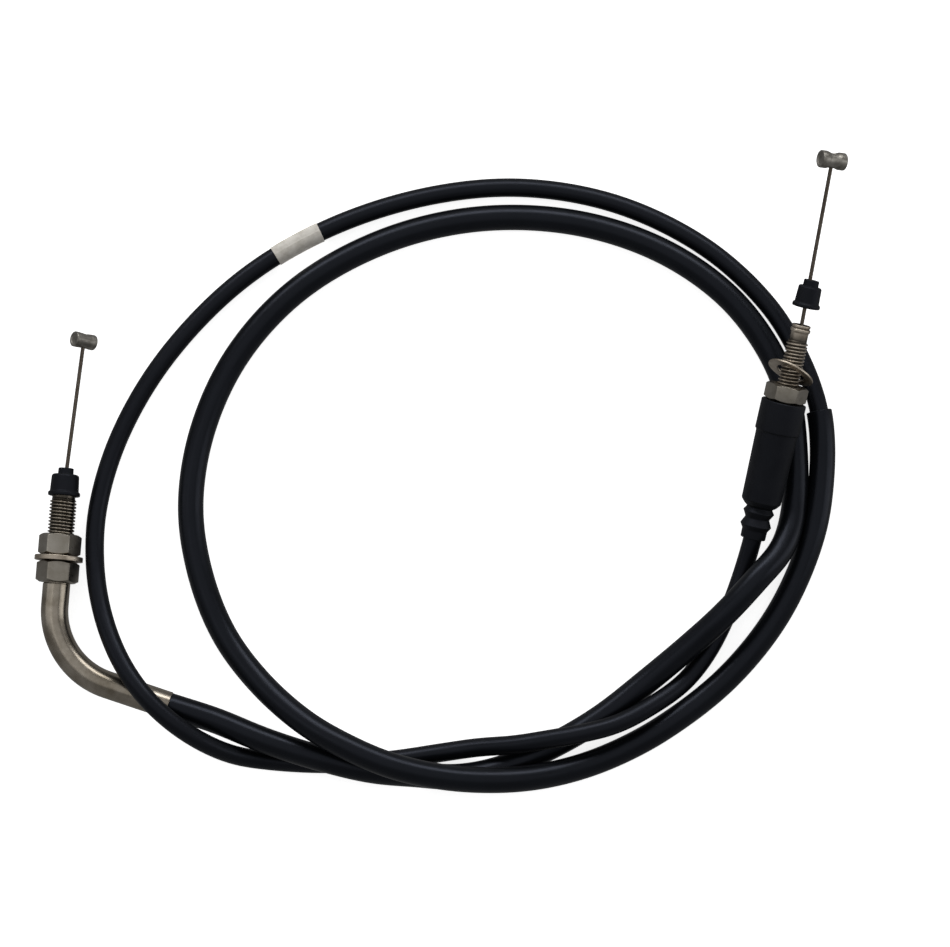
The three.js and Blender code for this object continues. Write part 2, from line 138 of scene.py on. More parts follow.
# A closed skin over points[row, column]. A bored piece is one loop of skin, out along it and back through
# its bore. A solid one has poles: each end row closes on its own middle. Painted shade is a share per point.
def skinPiece(name, points, finish, body, along=None, poles=False, sharp=35, paintedShade=None):
    rows, columns = points.shape[:2]
    vertices = points.reshape(-1, 3)
    quads = gridFaces(rows, columns, not poles)
    fans = np.zeros((0, 3), int)
    if poles:
        ring = np.arange(columns)
        ahead = np.roll(ring, -1)
        pole = np.full(columns, rows * columns)
        lastRow = (rows - 1) * columns
        firstFan = np.stack([pole, ahead, ring], -1)
        lastFan = np.stack([ring + lastRow, ahead + lastRow, pole + 1], -1)
        fans = np.vstack([firstFan, lastFan])
        vertices = np.vstack([vertices, points[0].mean(0), points[-1].mean(0)])
    if not facesOutward(vertices - vertices.mean(0), quads):
        quads, fans = quads[:, ::-1], fans[:, ::-1]
    loops = np.concatenate([quads.ravel(), fans.ravel()])
    sizes = np.repeat([4, 3], [len(quads), len(fans)])
    mesh = bpy.data.meshes.new(name)
    mesh.vertices.add(len(vertices))
    mesh.vertices.foreach_set("co", vertices.ravel())
    mesh.loops.add(len(loops))
    mesh.loops.foreach_set("vertex_index", loops)
    mesh.polygons.add(len(sizes))
    mesh.polygons.foreach_set("loop_start", np.cumsum(sizes) - sizes)
    mesh.polygons.foreach_set("use_smooth", np.ones(len(sizes), bool))
    mesh.update(calc_edges=True)
    layUvs(mesh, loops, quads, columns, np.zeros(rows) if along is None else along)
    if paintedShade is not None:
        mesh.attributes.new("paintedShade", "FLOAT", "POINT").data.foreach_set("value", paintedShade.ravel())
    mesh.set_sharp_from_angle(angle=np.radians(sharp))
    piece = bpy.data.objects.new(name, mesh)
    bpy.context.collection.objects.link(piece)
    finishPiece(piece, finish, body)
    return piece


def finishPiece(piece, finish, body):
    material, slotName = finishes[finish]
    piece.data.materials.clear()
    piece.data.materials.append(material)
    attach(piece, body)


filletSteps = 5  # points on each rounded corner


# A closed profile from corners of (radius, height, fillet) in millimetres. Each corner becomes a short
# curve from one side to the other, (1-t)^2 a + 2t(1-t) b + t^2 c, that takes just under half of either.
def rounded(corners, steps=filletSteps):
    corners = np.array(corners, float)
    points, fillet = corners[..., :2], corners[..., 2:]
    before, after = np.roll(points, 1, -2) - points, np.roll(points, -1, -2) - points
    lengthBefore = np.linalg.norm(before, axis=-1, keepdims=True)
    lengthAfter = np.linalg.norm(after, axis=-1, keepdims=True)
    reach = np.minimum(fillet, 0.48 * np.minimum(lengthBefore, lengthAfter))
    start = (points + before / lengthBefore * reach)[..., None, :]
    end = (points + after / lengthAfter * reach)[..., None, :]
    t = np.linspace(0, 1, steps)[:, None]
    curve = (1 - t) ** 2 * start + 2 * t * (1 - t) * points[..., None, :] + t**2 * end
    return curve.reshape(*curve.shape[:-3], -1, 2)


# A profile turned about the Y axis: (radius cos a, height, -radius sin a). Radius and height may differ
# from column to column.
def turned(radius, height, matrix, columns):
    angle = np.arange(columns) * 2 * np.pi / columns
    radius, height = np.broadcast_arrays(radius, height)
    flat = [radius * np.cos(angle), height + 0 * angle, -radius * np.sin(angle)]
    return into(matrix, np.stack(flat, -1) * mm)


def turnedPiece(name, corners, matrix, finish, body, columns=96, steps=filletSteps):
    profile = rounded(corners, steps)
    radius, height = profile[:, :1], profile[:, 1:]
    along = lengthsAlong(profile) * mm
    return skinPiece(name, turned(radius, height, matrix, columns), finish, body, along)


def lengthsAlong(line):
    return np.concatenate([[0], np.cumsum(np.linalg.norm(np.diff(line, axis=0), axis=1))])


# sRGB hex to linear: below 0.04045 it is v / 12.92, above it ((v + 0.055) / 1.055)^2.4.
def linear(code):
    value = np.array([int(code[i : i + 2], 16) for i in (1, 3, 5)]) / 255
    return (*np.where(value <= 0.04045, value / 12.92, ((value + 0.055) / 1.055) ** 2.4), 1.0)


# Adds a node: settings name its properties or input sockets, links join its inputs to outputs.
def addNode(material, kind, settings=(), links=()):
    node = material.node_tree.nodes.new(kind)
    for key, value in dict(settings).items():
        if key == "stops":
            for stop, (position, colour) in zip(node.color_ramp.elements, value):
                stop.position, stop.color = position, colour
        elif key in node.inputs:
            node.inputs[key].default_value = value
        else:
            setattr(node, key, value)
    for key, output in dict(links).items():
        material.node_tree.links.new(output, node.inputs[key])
    return node


# Coordinates: the object's own, or its "lay" map, scaled so that one unit is one feature of a pattern.
def coordinates(material, scale, lay=False):
    if lay:
        source = addNode(material, "ShaderNodeUVMap", {"uv_map": "lay"}).outputs["UV"]
    else:
        source = addNode(material, "ShaderNodeTexCoord").outputs["Object"]
    return addNode(material, "ShaderNodeMapping", {"Scale": scale}, {"Vector": source}).outputs["Vector"]


def cloud(material, vector, detail=4.0, rough=0.55):
    settings = {"Scale": 1.0, "Detail": detail, "Roughness": rough}
    return addNode(material, "ShaderNodeTexNoise", settings, {"Vector": vector}).outputs["Fac"]


def between(material, source, low, high, first, second):
    stops = ((low, first), (high, second))
    return addNode(material, "ShaderNodeValToRGB", {"stops": stops}, {"Fac": source}).outputs["Color"]


def grey(value):
    return (value, value, value, 1.0)


# A finish: its colour ramp and roughness ramp each follow a pattern, and bumps are stacked in order as
# (pattern, relief in millimetres, strength).
def newFinish(name, shader, build):
    material = bpy.data.materials.new(name)
    material.use_nodes = True
    material.node_tree.nodes.clear()
    colour, rough, bumps = build(material)
    links = {"Base Color": colour, "Roughness": rough}
    for pattern, relief, strength in bumps:
        before = {"Height": pattern, **({"Normal": links["Normal"]} if "Normal" in links else {})}
        settings = {"Distance": relief * mm, "Strength": strength}
        links["Normal"] = addNode(material, "ShaderNodeBump", settings, before).outputs["Normal"]
    principled = addNode(material, "ShaderNodeBsdfPrincipled", shader, links)
    addNode(material, "ShaderNodeOutputMaterial", (), {"Surface": principled.outputs["BSDF"]})
    return material


def evenScale(sizeMm):
    return (1 / (sizeMm * mm),) * 3


# Along the lay one feature is a length in millimetres, and round it there are so many to the turn.
def layScale(lengthMm, perTurn):
    return (1 / (lengthMm * mm), perTurn, 1)


# The size of each pattern in millimetres, or its length along the lay and its count to the turn.
patterns = {
    "pvcTint": 24,
    "pvcRubbing": (6, 14),
    "pvcDieLine": 160,
    "pvcGrain": 0.45,  # coarser than real, so that it shows
    "rubberBloom": 6,
    "rubberGrain": 0.35,  # coarser than real too
    "nickelStain": 7,
    "nickelPits": 0.6,
    "zincStain": 2.4,
    "zincPebble": 0.9,
    "oilFilm": (3, 6),
    "tapeDirt": 3.5,
    "tapeStretch": (15, 30),
    "flatWire": 2.8,
    "nylonTint": 9,
}


# Extruded PVC tube: nearly black with a blue cast, satin, with faint die lines along it. The rubbing of
# one turn on another leaves it a little duller in long patches.
def extrudedPvc(dark, light, low, high, dieLines):
    def build(material):
        tint = cloud(material, coordinates(material, evenScale(patterns["pvcTint"])))
        colour = between(material, tint, 0.3, 0.75, linear(dark), linear(light))
        rubbing = coordinates(material, layScale(*patterns["pvcRubbing"]), True)
        rubbed = cloud(material, rubbing, 5.0, 0.65)
        rough = between(material, rubbed, 0.3, 0.8, grey(low), grey(high))
        lineScale = layScale(patterns["pvcDieLine"], dieLines)
        lines = cloud(material, coordinates(material, lineScale, True))
        grain = cloud(material, coordinates(material, evenScale(patterns["pvcGrain"])), 2.0)
        return colour, rough, [(lines, 0.05, 0.4), (grain, 0.012, 0.3)]

    return build


# Moulded rubber: dull black, with the even grain of the mould and a grey bloom in soft clouds.
def mouldedRubber(material):
    bloom = cloud(material, coordinates(material, evenScale(patterns["rubberBloom"])), 5.0, 0.6)
    colour = between(material, bloom, 0.35, 0.8, linear("#060607"), linear("#0E0F10"))
    rough = between(material, bloom, 0.3, 0.8, grey(0.46), grey(0.64))
    grain = cloud(material, coordinates(material, evenScale(patterns["rubberGrain"])), 3.0)
    return colour, rough, [(grain, 0.02, 0.4)]


# Dull nickel over turned or drawn steel: warm grey metal with fine tool lines and brown tarnish. Painted
# shade for recesses darkens it in proportion, to a seventh where it is full.
def dullNickel(base, tarnish, low, high, lineScale):
    def build(material):
        stain = cloud(material, coordinates(material, evenScale(patterns["nickelStain"])), 5.0, 0.62)
        colour = between(material, stain, 0.35, 0.72, linear(base), linear(tarnish))
        paintedShade = addNode(material, "ShaderNodeAttribute", {"attribute_name": "paintedShade"}).outputs["Fac"]
        faded = addNode(material, "ShaderNodeMapRange", {"To Min": 1.0, "To Max": 0.14}, {"Value": paintedShade})
        shade = {"Color": colour, "Value": faded.outputs["Result"]}
        colour = addNode(material, "ShaderNodeHueSaturation", (), shade).outputs["Color"]
        tool = cloud(material, coordinates(material, lineScale, True), 3.0)
        rough = between(material, tool, 0.25, 0.8, grey(low), grey(high))
        pits = cloud(material, coordinates(material, evenScale(patterns["nickelPits"])), 2.0)
        return colour, rough, [(tool, 0.012, 0.35), (pits, 0.01, 0.15)]

    return build


# Die-cast zinc: dull grey and slightly pebbled from the die, stained darker in soft clouds.
def dieCastZinc(material):
    stain = cloud(material, coordinates(material, evenScale(patterns["zincStain"])), 5.0, 0.6)
    colour = between(material, stain, 0.35, 0.75, linear("#A5A29B"), linear("#6F6B64"))
    pebble = cloud(material, coordinates(material, evenScale(patterns["zincPebble"])), 3.0)
    rough = between(material, pebble, 0.3, 0.8, grey(0.38), grey(0.6))
    return colour, rough, [(pebble, 0.05, 0.5)]


# Stranded steel wire under a film of oil: brownish grey, darker where the film is thick.
def oiledStrand(material):
    film = cloud(material, coordinates(material, layScale(*patterns["oilFilm"]), True))
    colour = between(material, film, 0.35, 0.75, linear("#6E665D"), linear("#4A423A"))
    return colour, between(material, film, 0.3, 0.8, grey(0.28), grey(0.5)), []


# Vinyl marking tape: light grey, matt and a little dirty, with faint stretch lines along the cable.
def markingTape(material):
    dirt = cloud(material, coordinates(material, evenScale(patterns["tapeDirt"])), 5.0, 0.65)
    colour = between(material, dirt, 0.4, 0.78, linear("#D4D0C8"), linear("#AEA89D"))
    stretch = cloud(material, coordinates(material, layScale(*patterns["tapeStretch"]), True))
    rough = between(material, stretch, 0.3, 0.8, grey(0.5), grey(0.7))
    return colour, rough, [(stretch, 0.05, 0.4)]


# Flat steel wire wound edge to edge: grey metal with a dark line where each turn meets the next. A wave
# whose scale is a tenth of pi has one band for each unit along.
def woundSteel(material):
    turns = coordinates(material, layScale(patterns["flatWire"], 1), True)
    wave = {"wave_type": "BANDS", "bands_direction": "X", "Scale": 0.1 * np.pi}
    lines = addNode(material, "ShaderNodeTexWave", wave, {"Vector": turns}).outputs["Fac"]
    colour = between(material, lines, 0.0, 0.25, linear("#45423F"), linear("#8F8B86"))
    return colour, between(material, lines, 0.0, 0.4, grey(0.6), grey(0.4)), [(lines, 0.1, 0.5)]


# Natural nylon: milky and smooth, slightly clouded.
def naturalNylon(material):
    tint = cloud(material, coordinates(material, evenScale(patterns["nylonTint"])), 3.0)
    colour = between(material, tint, 0.3, 0.8, linear("#E4E1D6"), linear("#CFCABB"))
    return colour, between(material, tint, 0.3, 0.8, grey(0.34), grey(0.46)), []


metal = {"Metallic": 1.0}
vinyl = {"IOR": 1.5, "Specular IOR Level": 0.26, "Specular Tint": linear("#DDE6FF")}
alongLines = layScale(60, 26)  # drawn lines that run the pipe's length
roundLines = layScale(0.3, 2)  # turning lines round a piece
nutLines = layScale(1.2, 8)
sleevePvc = extrudedPvc("#07080A", "#0E1013", 0.28, 0.4, 26)
casingVinyl = extrudedPvc("#07080A", "#0E0F12", 0.32, 0.46, 18)
drawnNickel = dullNickel("#ADA599", "#81786A", 0.2, 0.36, alongLines)
turnedNickel = dullNickel("#C8BEB0", "#8F8373", 0.3, 0.48, roundLines)
platedNut = dullNickel("#A39E95", "#857F74", 0.24, 0.4, nutLines)
finishes = {
    "sleeve": (newFinish("sleeve PVC, extruded", vinyl, sleevePvc), "sheath_vinyl"),
    "casing": (newFinish("casing vinyl, extruded", vinyl, casingVinyl), "jacket_vinyl"),
    "rubber": (newFinish("boot rubber, moulded", vinyl, mouldedRubber), "moulded_rubber"),
    "pipe": (newFinish("dull nickel, drawn pipe", metal, drawnNickel), "nickel_steel"),
    "turning": (newFinish("dull nickel, turned", metal, turnedNickel), "nickel_steel"),
    "nut": (newFinish("zinc plated nut steel", metal, platedNut), "zinc_nut_steel"),
    "zinc": (newFinish("zinc, die cast", metal, dieCastZinc), "die_cast_zinc"),
    "strand": (newFinish("wire strand, oiled", metal, oiledStrand), "wire_strand"),
    "spring": (newFinish("spring steel, flat wound", metal, woundSteel), "spring_steel"),
    "nylon": (newFinish("liner nylon, natural", {"IOR": 1.53}, naturalNylon), "liner_nylon"),
    "tape": (newFinish("marking tape, vinyl", vinyl, markingTape), "vinyl_tape"),
}
print("finishes made")

# Where the casing goes, in metres: free from the boot to its sleeve, then sleeved as far as the elbow.
layOffset = np.array([0.00135, 0.00175, 0.0])
freeRoute = [
    (0.1135, -0.0330, 0.0066), (0.1110, -0.0410, 0.0045), (0.1070, -0.0515, 0.0036),
    (0.0995, -0.0665, 0.0035), (0.0905, -0.0780, 0.0048), (0.0780, -0.0870, 0.0093),
    (0.0645, -0.0940, 0.0128), (0.0510, -0.0975, 0.0138), (0.0395, -0.0995, 0.0138),
    (0.0270, -0.1015, 0.0112), (0.0135, -0.1025, 0.0066), (-0.0005, -0.1045, 0.0041),
    (-0.0170, -0.1070, 0.0035), (-0.0340, -0.1085, 0.0035), (-0.0500, -0.1085, 0.0035),
    (-0.0640, -0.1075, 0.0048), (-0.0765, -0.1055, 0.0096), (-0.0875, -0.1010, 0.0154),
    (-0.0990, -0.0935, 0.0194), (-0.1100, -0.0830, 0.0202), (-0.1195, -0.0690, 0.0168),
    (-0.1265, -0.0510, 0.0112), (-0.1295, -0.0320, 0.0066), (-0.1285, -0.0120, 0.0043),
    (-0.1205, 0.0145, 0.0035), (-0.1035, 0.0435, 0.0037), (-0.0760, 0.0720, 0.0041),
    (-0.0440, 0.0915, 0.0042), (-0.0065, 0.1040, 0.0038), (0.0300, 0.1075, 0.0035),
    (0.0665, 0.1010, 0.0035), (0.0995, 0.0845, 0.0035), (0.1225, 0.0630, 0.0035),
    (0.1340, 0.0440, 0.0037), (0.1400, 0.0280, 0.0047),
]
sleevedRoute = [
    (0.1420, 0.0165, 0.0050), (0.1420, -0.0010, 0.0048), (0.1385, -0.0230, 0.0048),
    (0.1260, -0.0520, 0.0048), (0.1065, -0.0765, 0.0049), (0.0820, -0.0955, 0.0049),
    (0.0630, -0.1055, 0.0053), (0.0470, -0.1110, 0.0082), (0.0305, -0.1140, 0.0133),
    (0.0140, -0.1145, 0.0166), (-0.0020, -0.1130, 0.0199), (-0.0190, -0.1090, 0.0217),
    (-0.0355, -0.1020, 0.0208), (-0.0510, -0.0930, 0.0166), (-0.0680, -0.0780, 0.0104),
    (-0.0815, -0.0600, 0.0062), (-0.0905, -0.0370, 0.0048), (-0.0940, -0.0120, 0.0048),
    (-0.0895, 0.0165, 0.0048), (-0.0765, 0.0445, 0.0048), (-0.0540, 0.0690, 0.0048),
    (-0.0220, 0.0870, 0.0048), (0.0135, 0.0955, 0.0048), (0.0505, 0.0940, 0.0048),
    (0.0825, 0.0835, 0.0048), (0.1070, 0.0665, 0.0048), (0.1220, 0.0470, 0.0048),
    (0.1295, 0.0290, 0.0048), (0.1320, 0.0085, 0.0049), (0.1317, -0.0115, 0.0057),
    (0.1270, -0.0280, 0.0108), (0.1170, -0.0400, 0.0151), (0.1050, -0.0530, 0.0136),
    (0.0930, -0.0640, 0.0098), (0.0775, -0.0770, 0.0057), (0.0590, -0.0915, 0.0048),
    (0.0410, -0.1020, 0.0048), (0.0215, -0.1105, 0.0051), (0.0050, -0.1135, 0.0072),
    (-0.0090, -0.1125, 0.0100), (-0.0260, -0.1110, 0.0121), (-0.0450, -0.1065, 0.0125),
    (-0.0655, -0.1000, 0.0118), (-0.0840, -0.0925, 0.0105),
]

# The elbow pipe, in millimetres: heights are along the fitting's axis, from the middle of its washer.
pipeValues = {
    "radius": 5.1,
    "bore": 3.4,
    "mouth": 29.2,
    "bendStart": -17.4,
    "bendRadius": 29.0,
    "turn": 75.6,
    "leg": 24.3,
    "socketRadius": 4.45,
    "socketDepth": 12.8,
    "neck": 4.3,
    "threadRadius": 5.0,
    "threadTop": 22.5,
    "threadFoot": -9.8,
    "pitch": 1.25,
    "threadDepth": 0.72,
    "row": 1.2,  # between rows of the plain pipe, and of its bore below
    "boreRow": 1.5,
}


# Down the axis, round an arc whose angle is the distance past the straight over the bend's radius, and
# straight on along the leg. Distances and points are in millimetres, in the fitting's own XY plane.
def elbowLine(distance, values):
    bend = np.radians(values["turn"])
    straight = values["mouth"] - values["bendStart"]
    angle = np.clip((distance - straight) / values["bendRadius"], 0, bend)
    past = np.maximum(0, distance - straight - values["bendRadius"] * bend)
    x = values["bendRadius"] * (1 - np.cos(angle)) + past * np.sin(bend)
    y = values["bendStart"] + np.maximum(0, straight - distance)
    y = y - values["bendRadius"] * np.sin(angle) - past * np.cos(bend)
    return np.stack([x, y, 0 * x], -1), np.stack([np.sin(angle), -np.cos(angle), 0 * x], -1)


elbowLength = pipeValues["mouth"] - pipeValues["bendStart"] + pipeValues["leg"]
elbowLength += pipeValues["bendRadius"] * np.radians(pipeValues["turn"])


def onLeg(depth):
    return into(guide, elbowLine(np.array([elbowLength - depth]), pipeValues)[0] * mm)[0]


def onAdjuster(height):
    return into(adjuster, np.array([0, height * mm, 0]))


# Centripetal Catmull-Rom: each span is a cubic through two points, whose end slopes weigh the chords on
# both sides by the square roots of their lengths. All the spans are worked out together.
def smoothLine(points, steps):
    padded = np.vstack([2 * points[0] - points[1], points, 2 * points[-1] - points[-2]])
    root = np.sqrt(np.linalg.norm(np.diff(padded, axis=0), axis=1))[:, None]
    d0, d1, d2 = root[:-2], root[1:-1], root[2:]
    p0, p1, p2, p3 = padded[:-3], padded[1:-2], padded[2:-1], padded[3:]
    slope1 = ((p1 - p0) / d0 - (p2 - p0) / (d0 + d1) + (p2 - p1) / d1) * d1
    slope2 = ((p2 - p1) / d1 - (p3 - p1) / (d1 + d2) + (p3 - p2) / d2) * d1
    t = np.linspace(0, 1, steps, endpoint=False)[None, :, None]
    p1, p2, slope1, slope2 = (a[:, None] for a in (p1, p2, slope1, slope2))
    square = 3 * (p2 - p1) - 2 * slope1 - slope2
    cube = 2 * (p1 - p2) + slope1 + slope2
    spans = p1 + slope1 * t + square * t**2 + cube * t**3
    return np.vstack([spans.reshape(-1, 3), points[-1]])


def sampled(line, lengths, wanted):
    return np.stack([np.interp(wanted, lengths, line[:, i]) for i in range(3)], -1)


# The line at even 1 mm steps, averaged with a bell, because a stiff casing's bend changes gradually. The
# ends are carried on straight before the averaging, so they stay where they are.
def eased(line, spread):
    lengths = lengthsAlong(line)
    even = sampled(line, lengths, np.linspace(0, lengths[-1], round(lengths[-1] / mm)))
    reach = 3 * spread
    lead = even[0] + np.arange(-reach, 0)[:, None] * (even[1] - even[0])
    trail = even[-1] + np.arange(1, reach + 1)[:, None] * (even[-1] - even[-2])
    bell = np.exp(-0.5 * (np.arange(-reach, reach + 1) / spread) ** 2)
    long = np.vstack([lead, even, trail])
    return np.stack([np.convolve(long[:, i], bell / bell.sum(), "valid") for i in range(3)], -1)


casingValues = {
    "radius": 3.5,
    "bore": 2.85,
    "foot": -22.6,  # height on the adjuster's axis where the casing starts, in its end cup
    "bootEnd": -55.5,
    "seatDepth": 11.2,  # how far the casing goes into the elbow pipe's end
    "sleeveGap": 0.3,  # between the sleeve and the elbow pipe
    "sleeveStart": 722,  # along the casing from the end of the boot
    "steps": 24,  # points on each span of the route
    "ease": 3,  # the averaging bell's standard deviation, in millimetres
}
middleHeight = (casingValues["foot"] + casingValues["bootEnd"]) / 2
casingEnds = [casingValues["foot"], middleHeight, casingValues["bootEnd"]]
casingLine = np.vstack(
    [
        [onAdjuster(height) for height in casingEnds],
        np.array(freeRoute) + layOffset,
        np.array(sleevedRoute) + layOffset,
        [onLeg(-casingValues["sleeveGap"]), onLeg(casingValues["seatDepth"])],
    ]
)
casingLine = eased(smoothLine(casingLine, casingValues["steps"]), casingValues["ease"])
casingLengths = lengthsAlong(casingLine)


# At each station along the casing: its place, a level axis across it and one over it.
def casingStations(stations):
    tangent = unit(np.gradient(casingLine, axis=0))
    level = unit(np.cross([0, 0, 1], tangent))
    over = np.cross(tangent, level)
    return [sampled(values, casingLengths, stations)[:, None] for values in (casingLine, level, over)]


# A tube on the casing's line: place + radius (level cos a + over sin a), where the radius may follow the
# turn and the place along. The outer skin goes out, the bore comes back, and the cut ends are eased.
def casingPiece(name, start, end, outer, inner, finish, columns=40, step=1.5, lip=0.25):
    edges = np.array([0, 0.3, 1]) * lip * mm
    inside = np.arange(start + 2 * lip * mm, end - 2 * lip * mm, step * mm)
    stations = np.concatenate([start + edges, inside, end - edges[::-1]])
    fromEnd = np.minimum(stations - start, end - stations) / (lip * mm)
    rounding = lip * np.clip(1 - fromEnd, 0, 1)[:, None] ** 2
    angle = np.arange(columns) * 2 * np.pi / columns
    place, level, over = casingStations(stations)
    across = level * np.cos(angle)[:, None] + over * np.sin(angle)[:, None]
    outerRadius = outer(angle, stations[:, None]) if callable(outer) else outer
    skin = place + across * ((outerRadius - rounding) * mm)[..., None]
    if inner == 0:
        return skinPiece(name, skin, finish, "root", stations, True)
    bore = place + across * ((inner + rounding * 0.5 + 0 * angle) * mm)[..., None]
    along = np.concatenate([stations, stations[::-1]])
    return skinPiece(name, np.concatenate([skin, bore[::-1]]), finish, "root", along)


def nearest(point):
    return casingLengths[np.linalg.norm(casingLine - point, axis=1).argmin()]


casingEnd = casingLengths[-1]
casing = casingPiece("casing_tube", 0, casingEnd, casingValues["radius"], casingValues["bore"], "casing")
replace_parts(casing, "casing_jacket")

sleeveValues = {"radii": (4.8, 3.9), "columns": 48}
sleeveStart = nearest(onAdjuster(casingValues["bootEnd"])) + casingValues["sleeveStart"] * mm
sleeveEnd = nearest(onLeg(-casingValues["sleeveGap"]))
sleeveRadii, sleeveColumns = sleeveValues["radii"], sleeveValues["columns"]
sleeve = casingPiece("sleeve_tube", sleeveStart, sleeveEnd, *sleeveRadii, "sleeve", sleeveColumns)
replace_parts(sleeve, "protective_sleeve")

bandValues = {
    "middle": (-0.0527, 0.0877, 0.0042),
    "length": 19.2,
    "inner": 3.54,
    "outer": 3.74,
    "wrap": 0.16,  # the tape's thickness, by which its last turn stands above the one under it
    "seam": 84,  # degrees round from the level side, so that the tape's edge faces up
    "columns": 96,
    "step": 0.8,
    "lip": 0.06,
}


# Tape wound on in one direction: its radius grows evenly through a turn and drops at the seam.
def tapeRadius(angle, station):
    turnShare = (angle / (2 * np.pi) - bandValues["seam"] / 360) % 1
    return bandValues["outer"] + bandValues["wrap"] * (1 - turnShare) + 0 * station


bandMiddle = nearest(np.array(bandValues["middle"]))
bandHalf = bandValues["length"] / 2 * mm
bandEnds = (bandMiddle - bandHalf, bandMiddle + bandHalf)
bandGrid = {key: bandValues[key] for key in ("columns", "step", "lip")}
band = casingPiece("marking_band", *bandEnds, tapeRadius, bandValues["inner"], "tape", **bandGrid)
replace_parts(band, "id_band")

# Inside the casing: outer and inner radius of each layer, and the wire, which is solid.
coreValues = {"conduit": (2.5, 1.75), "liner": (1.45, 1.05), "core": (0.75, 0), "step": 2.5}
coreStep = coreValues["step"]
conduit = casingPiece("wound_conduit", 0, casingEnd, *coreValues["conduit"], "spring", 24, coreStep)
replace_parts(conduit, "spiral_conduit")
liner = casingPiece("nylon_liner", 0, casingEnd, *coreValues["liner"], "nylon", 16, coreStep)
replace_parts(liner, "casing_liner")
core = casingPiece("inner_wire", 0, casingEnd, *coreValues["core"], "strand", 12, coreStep)
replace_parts(core, "inner_wire_core")

print(f"casing {casingEnd:.4f} m, sleeve {sleeveEnd - sleeveStart:.4f} m")


def smoothStep(value):
    value = np.clip(value, 0, 1)
    return value * value * (3 - 2 * value)


threadShape = {
    "rootFlat": 0.12,  # shares of the wave
    "flank": 0.7,
    "rowsPerPitch": 20,
    "shadePower": 1.3,
}


# A screw thread's share of its depth, 0 at the root and 1 at the crest: a triangle wave of the height
# over the pitch less the turn, cut flat at both ends and eased between.
def threadShare(height, pitch, columns):
    turnShare = np.arange(columns) / columns
    wave = 1 - np.abs(2 * ((height / pitch - turnShare) % 1) - 1)
    return smoothStep((wave - threadShape["rootFlat"]) / threadShape["flank"])


# Painted shade in a thread's roots: the depth under the crest over the thread's depth, to a power.
def rootShade(radius, values):
    depthShare = np.clip((values["threadRadius"] - radius) / values["threadDepth"], 0, 1)
    return depthShare ** threadShape["shadePower"]


# Rows of a threaded stretch from one height to another: the thread fades into `before` and `after`, the
# plain radii at its two ends, over one pitch.
def threadRows(start, end, values, before, after, columns):
    pitch, radius, depth = values["pitch"], values["threadRadius"], values["threadDepth"]
    rowCount = round(abs(end - start) / pitch * threadShape["rowsPerPitch"])
    rows = np.linspace(start, end, rowCount)[:, None]
    full = radius - depth * (1 - threadShare(rows, pitch, columns))
    fadeIn = smoothStep(np.abs(rows - start) / pitch)
    fadeOut = smoothStep(np.abs(rows - end) / pitch)
    full = before * (1 - fadeIn) + full * fadeIn
    return after * (1 - fadeOut) + full * fadeOut, rows + 0 * full


# Corners to rows of radius and height, the same for every column.
def plainRows(corners, columns):
    profile = rounded(corners)
    return profile[:, :1] + np.zeros(columns), profile[:, 1:] + np.zeros(columns)


# Each part of a mouth: how far it stands out from the neck, its depths under the top, and its fillets.
mouthShape = {
    "lip": (0.2, (0, 0.85), (0.3, 0.2)),
    "groove": (-0.05, (1.05, 1.35), (0.12, 0.12)),
    "bead": (0.45, (1.6, 2.5), (0.3, 0.3)),
    "boreDepth": 6,
    "neckDepth": 2.9,
}
slightFillet = 0.02  # for a corner that stays sharp, lies in line or has its rows dropped


# A turned mouth, from inside the bore to where the thread starts: a rounded lip, a groove, a bead and the
# neck. The first and last corners only give the directions in and out, and their rows are dropped.
def mouthCorners(values):
    bore, top, neck = values["bore"], values["mouth"], values["neck"]
    corners = [(bore, top - mouthShape["boreDepth"], slightFillet), (bore, top, 0.3)]
    for part in ("lip", "groove", "bead"):
        standing, depths, fillets = mouthShape[part]
        corners += [(neck + standing, top - depth, fillet) for depth, fillet in zip(depths, fillets)]
    return corners + [(neck, top - mouthShape["neckDepth"], 0.25), (neck, values["threadTop"], slightFillet)]


